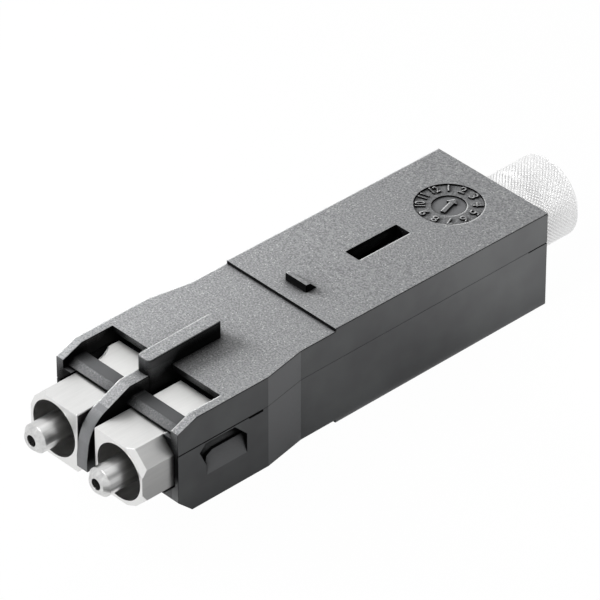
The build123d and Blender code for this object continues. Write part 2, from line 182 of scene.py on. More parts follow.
def openness(tree: Tree, reach_mm: float, closed: float | Socket, floor: float, own: bool = False) -> Socket:
    """Factor that falls in narrow corners, where little light gets in.

    Args:
        tree: Node tree that the nodes go into.
        reach_mm: How far a wall still counts as near.
        closed: Openness at which the factor reaches its floor.
        floor: Lowest value of the factor.
        own: Whether only the piece's own walls count.

    Returns:
        The factor's socket.
    """
    near = add_node(
        tree,
        "ShaderNodeAmbientOcclusion",
        {"samples": CORNER_SAMPLES, "only_local": own},
        {"Distance": reach_mm * MM},
    ).outputs["AO"]
    return add_node(
        tree,
        "ShaderNodeMapRange",
        inputs={"Value": near, "From Min": closed, "From Max": OPEN_FROM, "To Min": floor},
    ).outputs["Result"]


def seen_directly(tree: Tree) -> Socket:
    """Factor of 1 for camera, glossy and transmitted rays.

    Args:
        tree: Node tree that the nodes go into.

    Returns:
        The factor's socket.
    """
    path = add_node(tree, "ShaderNodeLightPath").outputs
    first = add_node(
        tree, "ShaderNodeMath", MAXIMUM, {0: path["Is Camera Ray"], 1: path["Is Glossy Ray"]}
    ).outputs[0]
    return add_node(tree, "ShaderNodeMath", MAXIMUM, {0: first, 1: path["Is Transmission Ray"]}).outputs[0]


@dataclass(frozen=True)
class Readings:
    """What a finish reads at each point of a surface.

    Attributes:
        place: Where the point is.
        normal: Which way the surface faces there.
        spot: Node that splits the place into X, Y and Z.
        facing: Node that splits the normal into X, Y and Z.
    """

    place: Socket
    normal: Socket
    spot: Node
    facing: Node


def read_surface(tree: Tree) -> Readings:
    """Add the nodes that read a surface.

    Args:
        tree: Node tree that they go into.

    Returns:
        Their sockets.
    """
    place = add_node(tree, "ShaderNodeTexCoord").outputs["Object"]
    normal = add_node(tree, "ShaderNodeNewGeometry").outputs["Normal"]
    spot = add_node(tree, "ShaderNodeSeparateXYZ", inputs={0: place})
    facing = add_node(tree, "ShaderNodeSeparateXYZ", inputs={0: normal})
    return Readings(place, normal, spot, facing)


@dataclass(frozen=True)
class PaleFace:
    """Faces painted paler for the light that they catch, told by one part of their normal.

    Attributes:
        axis: The part of the normal.
        start: Its value where the faces begin to look paler.
        full: Its value where they look as pale as they get.
        share: Share of the paler colour there.
    """

    axis: str
    start: float
    full: float
    share: float


@dataclass(frozen=True)
class MouldedCasing:
    """Glass-filled PBT, injection moulded in a tool with two surface finishes.

    The upward faces come from spark-eroded steel and carry a fine grain; the
    walls come from steel smoothed by stoning. The tops are painted paler than
    the walls, partly for that grain and partly as painted sheen from the light
    behind them, and their brightest grains carry painted glints. The grain and
    the glints are drawn coarser than the real ones, which would be too fine to show.

    Attributes:
        grain_mm: Size of one pit of the eroded grain.
        grain_stops: Heights of the grain that have its dark and its light colour.
        grain_low_mm: Height above which the upward faces are grained.
        grain_high_mm: Height up to which they are.
        pit_depth_mm: Depth of a pit.
        speck_mm: Spacing of the painted glints on the brightest grains.
        speck_radius: Radius of a painted glint, in spacings.
        dull_grains: Share of the grains that get no painted glint.
        slope_facing: Upright part of the normal at which a sloped face is lifted in full.
        slope_lift_mm: How much higher it then counts, so that the low bars' sloping fronts are grained.
        top_from: Upright part of the normal from which a face counts as a top.
        top_to: Upright part from which it does in full.
        pale_faces: Faces painted paler for the light that they catch: faces that lean back, faces to the
            front, and the taper behind the wide front body.
        flow_mm: Size of the soft cloudiness from the melt's flow.
        polish_low_mm: Height above which the walls, the rib's sides, get painted shade.
        dial_radius_mm: Radius round the dial's middle inside which the tops get painted shade, for the dial's
            recess.
        edge_mm: Radius that the eye sees on moulded edges.
        edge_bend: Cosines of the bend where an edge starts and where it shows in full.
        edge_line: Share of the dark line on plain edges of walls.
        wear_mm: Width of the painted highlight on edges of upward faces, and of the dark rim on walls.
        wear_lean: Sideways part of the rounded normal where the painted highlight starts and where it is
            full.
        rim_low_mm: Height above which the walls end in a dark rim.
        rim_bend: Cosines of the bend where the rim starts and where it shows in full.
        crevice_mm: Width of a gap that still looks dark.
        crevice_floor: Share of the light that is left in the deepest gap.
        closed_wall: Openness at which a wall counts as closed in.
        closed_top: Openness at which a top does.
        near_floor_mm: Height up to which only the casing's own walls darken it.
        clear_floor_mm: Height from which all walls and the floor do.
        bar_rear_y_mm: Place along the body in front of which the low bars lie, which get painted shade from
            the walls and the rib beside them.
        bar_middle_x_mm: Middle of a bar from the body's middle.
        bar_half_mm: Half its length.
    """

    name: str = "glass_filled_pbt_moulded"
    ior: float = 1.57
    specular: float = 0.5
    grain_roughness: float = 0.68
    wall_roughness: float = 0.42
    grain_light: str = "#a6a7a8"
    grain_dark: str = "#727375"
    # Painted glint on the brightest grains of the tops.
    grain_speck: str = "#cccdcd"
    # Painted highlight on the left edges of tops, where the light from the left catches them.
    worn_edge: str = "#ebecec"
    wall_light: str = "#5b5d5e"
    wall_dark: str = "#4b4c4e"
    wall_edge: str = "#0c0c0d"
    grain_mm: float = 0.15
    grain_stops: tuple[float, float] = (0.35, 0.62)
    grain_low_mm: float = 8.75
    grain_high_mm: float = 11.0
    pit_depth_mm: float = 0.02
    pit_strength: float = 0.5
    speck_mm: float = 0.14
    speck_radius: float = 0.38
    dull_grains: float = 0.93
    slope_facing: float = 0.85
    slope_lift_mm: float = 1.5
    top_from: float = 0.75
    top_to: float = 0.97
    # Painted light on the walls, by the way they face.
    pale_faces: tuple[PaleFace, ...] = (
        PaleFace("Z", 0.12, 0.22, 0.8),
        PaleFace("Y", -0.4, -0.8, 0.6),
        PaleFace("Y", 0.1, 0.16, 0.8),
    )
    flow_mm: float = 4.0
    flow_stops: tuple[float, float] = (0.3, 0.7)
    # Painted shade on the high walls, the rib's sides.
    polish_low_mm: float = 9.4
    polish_border_mm: float = 0.05
    polish_shade: float = 0.62
    # Painted shade inside the dial's recess.
    dial_radius_mm: float = 2.7
    dial_border_mm: float = 0.02
    dial_shade: float = 0.66
    edge_mm: float = 0.1
    edge_bend: tuple[float, float] = (0.999, 0.95)
    edge_line: float = 0.6
    wear_mm: float = 0.22
    wear_lean: tuple[float, float] = (-0.16, -0.42)
    rim_low_mm: float = 8.5
    rim_border_mm: float = 0.1
    rim_bend: tuple[float, float] = (0.998, 0.96)
    crevice_mm: float = 2.6
    crevice_floor: float = 0.04
    closed_wall: float = 0.84
    closed_top: float = 0.52
    near_floor_mm: float = 2.0
    clear_floor_mm: float = 4.0
    # Painted shade on the two low bars at the front, from the walls and the rib beside them.
    bar_rear_y_mm: float = -18.3
    bar_middle_x_mm: float = 3.6
    bar_half_mm: float = 2.65
    bar_shade: float = 0.58

    def skyward(self, tree: Tree, at: Readings) -> Socket:
        """Share of 0 on a wall and of 1 on a top."""
        return add_node(
            tree,
            "ShaderNodeMapRange",
            {"interpolation_type": "SMOOTHSTEP"},
            {"Value": at.facing.outputs["Z"], "From Min": self.top_from, "From Max": self.top_to},
        ).outputs["Result"]

    def grained(self, tree: Tree, at: Readings, skyward: Socket) -> Socket:
        """Share of the eroded grain, on high tops and on the sloping fronts of the low bars.

        Args:
            tree: Node tree that the nodes go into.
            at: Readings of the surface.
            skyward: Share of a top.

        Returns:
            The share's socket.
        """
        lift = add_node(
            tree,
            "ShaderNodeMapRange",
            inputs={
                "Value": at.facing.outputs["Z"],
                "From Min": 1.0,
                "From Max": self.slope_facing,
                "To Max": self.slope_lift_mm * MM,
            },
        ).outputs["Result"]
        height = add_node(
            tree, "ShaderNodeMath", {"operation": "ADD"}, {0: at.spot.outputs["Z"], 1: lift}
        ).outputs[0]
        raised = add_node(
            tree,
            "ShaderNodeMath",
            {"operation": "COMPARE"},
            {
                0: height,
                1: (self.grain_low_mm + self.grain_high_mm) / 2 * MM,
                2: (self.grain_high_mm - self.grain_low_mm) / 2 * MM,
            },
        ).outputs[0]
        return add_node(tree, "ShaderNodeMath", MULTIPLY, {0: skyward, 1: raised}).outputs[0]

    def grained_colour(self, tree: Tree, at: Readings, grain: Socket) -> Socket:
        """Colour of the eroded tops with their painted glints, and with painted shade inside the dial's
        recess.

        Args:
            tree: Node tree that the nodes go into.
            at: Readings of the surface.
            grain: Height of the grain.

        Returns:
            The colour's socket.
        """
        # Painted glints: the brightest grains are drawn paler, for the light that they catch.
        glint_cells = add_node(
            tree, "ShaderNodeTexVoronoi", inputs={"Vector": at.place, "Scale": 1 / (self.speck_mm * MM)}
        ).outputs
        draw = add_node(tree, "ShaderNodeSeparateColor", inputs={0: glint_cells["Color"]}).outputs["Red"]
        bright = add_node(
            tree, "ShaderNodeMath", {"operation": "GREATER_THAN"}, {0: draw, 1: self.dull_grains}
        ).outputs[0]
        inside = add_node(
            tree, "ShaderNodeMath", {"operation": "LESS_THAN"}, {0: glint_cells["Distance"], 1: self.speck_radius}
        ).outputs[0]
        eroded = add_node(
            tree,
            "ShaderNodeMix",
            MIX_COLOURS,
            {
                "Factor": add_node(tree, "ShaderNodeMath", MULTIPLY, {0: bright, 1: inside}).outputs[0],
                COLOUR_A: add_node(
                    tree,
                    "ShaderNodeValToRGB",
                    inputs={"Fac": grain},
                    stops=list(zip(self.grain_stops, (self.grain_dark, self.grain_light))),
                ).outputs["Color"],
                COLOUR_B: linear(self.grain_speck),
            },
        ).outputs[MIXED_COLOUR]
        # Painted shade inside the dial's recess.
        level_place = add_node(
            tree, "ShaderNodeVectorMath", MULTIPLY, {0: at.place, 1: (1.0, 1.0, 0.0)}
        ).outputs["Vector"]
        from_dial = add_node(
            tree,
            "ShaderNodeVectorMath",
            {"operation": "DISTANCE"},
            {0: level_place, 1: (0.0, DIAL_Y_MM * MM, 0.0)},
        ).outputs["Value"]
        dial_shade_share = add_node(
            tree,
            "ShaderNodeMapRange",
            inputs={
                "Value": from_dial,
                "From Min": self.dial_radius_mm * MM,
                "From Max": (self.dial_radius_mm + self.dial_border_mm) * MM,
                "To Min": self.dial_shade,
            },
        ).outputs["Result"]
        return add_node(
            tree, "ShaderNodeMix", MULTIPLY_COLOURS, {"Factor": 1.0, COLOUR_A: eroded, COLOUR_B: dial_shade_share}
        ).outputs[MIXED_COLOUR]

    def pale_share(self, tree: Tree, at: Readings) -> Socket:
        """Share of the painted light on a wall, by the way it faces: the largest that its normal gives."""
        largest: float | Socket = 0.0
        for face in self.pale_faces:
            share = add_node(
                tree,
                "ShaderNodeMapRange",
                inputs={
                    "Value": at.facing.outputs[face.axis],
                    "From Min": face.start,
                    "From Max": face.full,
                    "To Max": face.share,
                },
            ).outputs["Result"]
            largest = add_node(tree, "ShaderNodeMath", MAXIMUM, {0: share, 1: largest}).outputs[0]
        return largest

    def wall_colour(self, tree: Tree, at: Readings) -> Socket:
        """Colour of the walls: the tone of the melt's flow, painted paler by the way each wall faces, and
        painted shade on the high walls.
        """
        flow = add_node(
            tree,
            "ShaderNodeTexNoise",
            inputs={"Vector": at.place, "Scale": 1 / (self.flow_mm * MM), "Detail": 2.0},
        ).outputs["Fac"]
        # Painted light: each wall is drawn paler by the way it faces, for the light that it catches.
        lit_wall_tone = add_node(
            tree,
            "ShaderNodeMix",
            MIX_COLOURS,
            {
                "Factor": self.pale_share(tree, at),
                COLOUR_A: add_node(
                    tree,
                    "ShaderNodeValToRGB",
                    inputs={"Fac": flow},
                    stops=list(zip(self.flow_stops, (self.wall_dark, self.wall_light))),
                ).outputs["Color"],
                COLOUR_B: linear(self.grain_dark),
            },
        ).outputs[MIXED_COLOUR]
        # Painted shade on the high walls, the rib's sides, which face away from the light.
        high_wall_share = add_node(
            tree,
            "ShaderNodeMapRange",
            inputs={
                "Value": at.spot.outputs["Z"],
                "From Min": self.polish_low_mm * MM,
                "From Max": (self.polish_low_mm + self.polish_border_mm) * MM,
                "To Min": 1.0,
                "To Max": self.polish_shade,
            },
        ).outputs["Result"]
        return add_node(
            tree, "ShaderNodeMix", MULTIPLY_COLOURS, {"Factor": 1.0, COLOUR_A: lit_wall_tone, COLOUR_B: high_wall_share}
        ).outputs[MIXED_COLOUR]

    def bent(self, tree: Tree, at: Readings, rounded: Socket, bend: tuple[float, float]) -> Socket:
        """Share of an edge, by how far a rounded normal turns from the true one.

        Args:
            tree: Node tree that the nodes go into.
            at: Readings of the surface.
            rounded: Normal with rounded edges.
            bend: Cosines of the turn where the edge starts and where it shows in full.

        Returns:
            The share's socket.
        """
        straight = add_node(
            tree, "ShaderNodeVectorMath", {"operation": "DOT_PRODUCT"}, {0: rounded, 1: at.normal}
        ).outputs["Value"]
        return add_node(
            tree, "ShaderNodeMapRange", inputs={"Value": straight, "From Min": bend[0], "From Max": bend[1]}
        ).outputs["Result"]

    def wear(self, tree: Tree, skyward: Socket, wide: Socket) -> Socket:
        """Share of the painted highlight on the left edges of tops, where the light from the left catches
        them.

        Args:
            tree: Node tree that the nodes go into.
            skyward: Share of a top.
            wide: Normal rounded over the band's width.

        Returns:
            The share's socket.
        """
        lit_side = add_node(
            tree,
            "ShaderNodeMapRange",
            inputs={
                "Value": add_node(tree, "ShaderNodeSeparateXYZ", inputs={0: wide}).outputs["X"],
                "From Min": self.wear_lean[0],
                "From Max": self.wear_lean[1],
            },
        ).outputs["Result"]
        return add_node(tree, "ShaderNodeMath", MULTIPLY, {0: skyward, 1: lit_side}).outputs[0]

    def dark_line(self, tree: Tree, at: Readings, skyward: Socket, edge: Socket, rim: Socket) -> Socket:
        """Share of the dark line on the edges of walls, strongest under the top edge of the sides.

        Args:
            tree: Node tree that the nodes go into.
            at: Readings of the surface.
            skyward: Share of a top.
            edge: Share of a plain edge.
            rim: Share of the rim's width at an edge.

        Returns:
            The share's socket.
        """
        high = add_node(
            tree,
            "ShaderNodeMapRange",
            inputs={
                "Value": at.spot.outputs["Z"],
                "From Min": self.rim_low_mm * MM,
                "From Max": (self.rim_low_mm + self.rim_border_mm) * MM,
            },
        ).outputs["Result"]
        side = add_node(
            tree, "ShaderNodeMath", {"operation": "ABSOLUTE"}, {0: at.facing.outputs["X"]}
        ).outputs[0]
        side_rim = add_node(tree, "ShaderNodeMath", MULTIPLY, {0: rim, 1: side}).outputs[0]
        top_rim = add_node(tree, "ShaderNodeMath", MULTIPLY, {0: side_rim, 1: high}).outputs[0]
        faint = add_node(tree, "ShaderNodeMath", MULTIPLY, {0: edge, 1: self.edge_line}).outputs[0]
        ends = add_node(tree, "ShaderNodeMath", MAXIMUM, {0: top_rim, 1: faint}).outputs[0]
        wall = add_node(tree, "ShaderNodeMath", {"operation": "SUBTRACT"}, {0: 1.0, 1: skyward}).outputs[0]
        return add_node(tree, "ShaderNodeMath", MULTIPLY, {0: ends, 1: wall}).outputs[0]

    def bar_share(self, tree: Tree, at: Readings) -> Socket:
        """Share of the colour left on the two low bars at the front under their painted shade."""
        sideways = add_node(
            tree, "ShaderNodeMath", {"operation": "ABSOLUTE"}, {0: at.spot.outputs["X"]}
        ).outputs[0]
        beside = add_node(
            tree,
            "ShaderNodeMath",
            {"operation": "COMPARE"},
            {0: sideways, 1: self.bar_middle_x_mm * MM, 2: self.bar_half_mm * MM},
        ).outputs[0]
        ahead = add_node(
            tree,
            "ShaderNodeMath",
            {"operation": "LESS_THAN"},
            {0: at.spot.outputs["Y"], 1: self.bar_rear_y_mm * MM},
        ).outputs[0]
        bar = add_node(tree, "ShaderNodeMath", MULTIPLY, {0: beside, 1: ahead}).outputs[0]
        return add_node(
            tree, "ShaderNodeMapRange", inputs={"Value": bar, "To Min": 1.0, "To Max": self.bar_shade}
        ).outputs["Result"]

    def light_share(self, tree: Tree, at: Readings, skyward: Socket) -> Socket:
        """Share of the light that comes back from a point, lower in corners and on the bars.

        Args:
            tree: Node tree that the nodes go into.
            at: Readings of the surface.
            skyward: Share of a top.

        Returns:
            The share's socket.
        """
        closed = add_node(
            tree,
            "ShaderNodeMapRange",
            inputs={"Value": skyward, "To Min": self.closed_wall, "To Max": self.closed_top},
        ).outputs["Result"]
        clear_of_floor = add_node(
            tree,
            "ShaderNodeMapRange",
            inputs={
                "Value": at.spot.outputs["Z"],
                "From Min": self.near_floor_mm * MM,
                "From Max": self.clear_floor_mm * MM,
            },
        ).outputs["Result"]
        around = add_node(
            tree,
            "ShaderNodeMix",
            inputs={
                "Factor": clear_of_floor,
                VALUE_A: openness(tree, self.crevice_mm, closed, self.crevice_floor, own=True),
                VALUE_B: openness(tree, self.crevice_mm, closed, self.crevice_floor),
            },
        ).outputs[MIXED_VALUE]
        return add_node(
            tree, "ShaderNodeMath", MULTIPLY, {0: around, 1: self.bar_share(tree, at)}
        ).outputs[0]

    def build(self) -> Material:
        """Make the material."""
        material, tree = new_material(self.name)
        at = read_surface(tree)
        skyward = self.skyward(tree, at)
        upward = self.grained(tree, at, skyward)
        grain = add_node(
            tree,
            "ShaderNodeTexNoise",
            inputs={"Vector": at.place, "Scale": 1 / (self.grain_mm * MM), "Detail": 3.0, "Roughness": 0.6},
        ).outputs["Fac"]
        rounded, wide = (
            add_node(
                tree, "ShaderNodeBevel", {"samples": BEVEL_SAMPLES}, {"Radius": radius * MM}
            ).outputs["Normal"]
            for radius in (self.edge_mm, self.wear_mm)
        )
        edge = self.bent(tree, at, rounded, self.edge_bend)
        rim = self.bent(tree, at, wide, self.rim_bend)
        line = self.dark_line(tree, at, skyward, edge, rim)
        colour = self.wall_colour(tree, at)
        # Coats over the wall colour: the grain with its painted sheen and glints on the tops, the painted
        # highlight on the left edges of tops, and the dark line on the walls.
        coats = (
            (upward, self.grained_colour(tree, at, grain)),
            (self.wear(tree, skyward, wide), linear(self.worn_edge)),
            (line, linear(self.wall_edge)),
        )
        for share, coat in coats:
            colour = add_node(
                tree, "ShaderNodeMix", MIX_COLOURS, {"Factor": share, COLOUR_A: colour, COLOUR_B: coat}
            ).outputs[MIXED_COLOUR]
        # Painted shade: the colour is darkened in corners and on the two low bars at the front.
        light = self.light_share(tree, at, skyward)
        shaded = add_node(
            tree, "ShaderNodeMix", MULTIPLY_COLOURS, {"Factor": 1.0, COLOUR_A: colour, COLOUR_B: light}
        ).outputs[MIXED_COLOUR]
        line_shine = add_node(
            tree, "ShaderNodeMapRange", inputs={"Value": line, "To Min": self.specular, "To Max": 0.0}
        ).outputs["Result"]
        pits = add_node(tree, "ShaderNodeMath", MULTIPLY, {0: grain, 1: upward}).outputs[0]
        shader = add_node(
            tree,
            "ShaderNodeBsdfPrincipled",
            inputs={
                "Base Color": shaded,
                "Roughness": add_node(
                    tree,
                    "ShaderNodeMapRange",
                    inputs={"Value": upward, "To Min": self.wall_roughness, "To Max": self.grain_roughness},
                ).outputs["Result"],
                "IOR": self.ior,
                "Specular IOR Level": add_node(
                    tree, "ShaderNodeMath", MULTIPLY, {0: light, 1: line_shine}
                ).outputs[0],
                "Normal": add_node(
                    tree,
                    "ShaderNodeBump",
                    inputs={
                        "Height": pits,
                        "Strength": self.pit_strength,
                        "Distance": self.pit_depth_mm * MM,
                        "Normal": rounded,
                    },
                ).outputs["Normal"],
            },
        )
        close_surface(tree, shader)
        return material


@dataclass(frozen=True)
class MachinedMetal:
    """Bare metal that was milled or turned and left with fine tool marks.

    The marks are drawn coarser than real ones, which would be too fine to show.

    Attributes:
        light: Colour of the crests of the tool marks.
        dark: Colour between them.
        roughness: Spread of the reflection.
        mark_mm: Spacing of the tool marks.
        lay: Direction of the marks.
        edge_mm: Radius that the eye sees on broken edges.
        crevice_mm: Width of a groove that still looks dark.
        crevice_floor: Share of the light that is left in the deepest groove.
        crevice_closed: Openness at which a groove counts as deepest.
        mark_strength: Strength of the relief of the marks.
        mark_depth_mm: Depth of that relief.
        mark_stops: Heights of the marks that have their dark and their light colour.
        mark_spread: Change of the roughness over the marks, as a share of it.
        turned_y_mm: Place along the body behind which the piece is turned: duller and even.
        turned_roughness: Roughness that is added there.
    """

    name: str
    light: str
    dark: str
    roughness: float
    mark_mm: float
    lay: Lay
    edge_mm: float = 0.06
    crevice_mm: float = 0.6
    crevice_floor: float = 0.3
    crevice_closed: float = 0.2
    mark_strength: float = 0.04
    mark_depth_mm: float = 0.01
    mark_stops: tuple[float, float] = (0.3, 0.7)
    mark_spread: float = 0.15
    turned_y_mm: float = 1000.0
    turned_roughness: float = 0.45

    def marks(self, tree: Tree, place: Socket) -> Socket:
        """Height of the tool marks.

        Args:
            tree: Node tree that the nodes go into.
            place: Where the point is.

        Returns:
            The height's socket.
        """
        pulled = add_node(
            tree, "ShaderNodeVectorMath", MULTIPLY, {0: place, 1: self.lay.value}
        ).outputs["Vector"]
        return add_node(
            tree,
            "ShaderNodeTexNoise",
            inputs={"Vector": pulled, "Scale": 1 / (self.mark_mm * MM), "Detail": 4.0, "Roughness": 0.65},
        ).outputs["Fac"]

    def turned(self, tree: Tree, place: Socket) -> Socket:
        """Share of 1 where the piece is turned.

        Args:
            tree: Node tree that the nodes go into.
            place: Where the point is.

        Returns:
            The share's socket.
        """
        along = add_node(tree, "ShaderNodeSeparateXYZ", inputs={0: place}).outputs["Y"]
        return add_node(
            tree, "ShaderNodeMath", {"operation": "GREATER_THAN"}, {0: along, 1: self.turned_y_mm * MM}
        ).outputs[0]

    def build(self) -> Material:
        """Make the material."""
        material, tree = new_material(self.name)
        place = add_node(tree, "ShaderNodeTexCoord").outputs["Object"]
        marks = self.marks(tree, place)
        turned = self.turned(tree, place)
        opened = openness(tree, self.crevice_mm, self.crevice_closed, self.crevice_floor)
        light_share = add_node(tree, "ShaderNodeMath", MAXIMUM, {0: opened, 1: turned}).outputs[0]
        tint = add_node(
            tree,
            "ShaderNodeValToRGB",
            inputs={"Fac": marks},
            stops=list(zip(self.mark_stops, (self.dark, self.light))),
        ).outputs["Color"]
        milled_spread = add_node(
            tree,
            "ShaderNodeMapRange",
            inputs={
                "Value": marks,
                "To Min": self.roughness * (1 - self.mark_spread),
                "To Max": self.roughness * (1 + self.mark_spread),
            },
        ).outputs["Result"]
        rounded = add_node(
            tree, "ShaderNodeBevel", {"samples": BEVEL_SAMPLES}, {"Radius": self.edge_mm * MM}
        ).outputs["Normal"]
        shader = add_node(
            tree,
            "ShaderNodeBsdfPrincipled",
            inputs={
                "Base Color": add_node(
                    tree,
                    "ShaderNodeMix",
                    MULTIPLY_COLOURS,
                    {"Factor": 1.0, COLOUR_A: tint, COLOUR_B: light_share},
                ).outputs[MIXED_COLOUR],
                "Metallic": 1.0,
                "Roughness": add_node(
                    tree,
                    "ShaderNodeMath",
                    {"operation": "MULTIPLY_ADD"},
                    {0: turned, 1: self.turned_roughness, 2: milled_spread},
                ).outputs[0],
                "Normal": add_node(
                    tree,
                    "ShaderNodeBump",
                    inputs={
                        "Height": marks,
                        "Strength": self.mark_strength,
                        "Distance": self.mark_depth_mm * MM,
                        "Normal": rounded,
                    },
                ).outputs["Normal"],
            },
        )
        close_surface(tree, shader)
        return material


CASING_PLASTIC = MouldedCasing()
# Nickel-plated brass: the square head is milled, pale and satin, and the turned part behind it is duller.
HOUSING_METAL = MachinedMetal(
    name="nickel_plated_brass_milled",
    light="#e4e4e3",
    dark="#dededd",
    roughness=0.32,
    mark_mm=0.25,
    lay=Lay.ALONG,
    mark_strength=0.02,
    turned_y_mm=-20.0,
)
# Stainless steel, centreless ground: soft streaks along the ferrule.
FERRULE_METAL = MachinedMetal("stainless_steel_ground", "#dddddc", "#bebebe", 0.3, 0.3, Lay.ALONG)
# Aluminium left bare under the knurl: very pale, the light breaks on its points.
NECK_METAL = MachinedMetal(
    name="bare_aluminium_knurled",
    light="#f4f4f4",
    dark="#e9e9e9",
    roughness=0.62,
    mark_mm=0.1,
    lay=Lay.ROUND,
    edge_mm=0.02,
    crevice_mm=0.15,
)
# Hard-drawn spring wire: grey with drawing lines along it.
SPRING_METAL = MachinedMetal(
    "stainless_spring_wire", "#b9b9ba", "#9c9c9e", 0.3, 0.08, Lay.ROUND, edge_mm=0.02
)
# Turned brass of the stop bushes: warm, with ring marks.
BUSH_METAL = MachinedMetal("brass_turned", "#cfae6a", "#b8954f", 0.3, 0.1, Lay.ROUND)
# Drawn aluminium tube of the crimp rings: soft grey sheen.
RING_METAL = MachinedMetal("aluminium_tube_drawn", "#c4c5c7", "#adaeb1", 0.36, 0.12, Lay.ALONG)


def dress(nodes: Iterable[str], material: Material) -> None:
    """Give CAD nodes a finish.

    Args:
        nodes: Names of the CAD nodes.
        material: Finish that replaces their plain ones.
    """
    for name in nodes:
        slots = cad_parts[name].data.materials
        slots.clear()
        slots.append(material)
        log.info("dressed %s with %s", name, material.name)


def mesh_piece(name: str, mesh: bmesh.types.BMesh, material: Material, smooth: bool) -> Object:
    """Turn a bmesh into a scene object.

    Args:
        name: Name of the piece.
        mesh: Finished geometry in metres, freed here.
        material: Its finish.
        smooth: Whether its faces are shaded smooth.

    Returns:
        The linked object.
    """
    data = bpy.data.meshes.new(name)
    bmesh.ops.recalc_face_normals(mesh, faces=mesh.faces)
    mesh.to_mesh(data)
    mesh.free()
    data.polygons.foreach_set("use_smooth", [smooth] * len(data.polygons))
    data.materials.append(material)
    piece = bpy.data.objects.new(name, data)
    bpy.context.scene.collection.objects.link(piece)
    log.info("built %s, %d faces", name, len(data.polygons))
    return piece


def join_rings(mesh: bmesh.types.BMesh, rings: Sequence[Sequence[Vector]], closed: bool = False) -> None:
    """Join rings of points with quads.

    Args:
        mesh: Geometry that gets the faces.
        rings: Equally long closed rings of points, in order.
        closed: Whether the last ring joins the first.
    """
    made = [[mesh.verts.new(point) for point in ring] for ring in rings]
    pairs = list(zip(made, made[1:])) + ([(made[-1], made[0])] if closed else [])
    for near, far in pairs:
        for i in range(len(near)):
            j = (i + 1) % len(near)
            mesh.faces.new((near[i], near[j], far[j], far[i]))


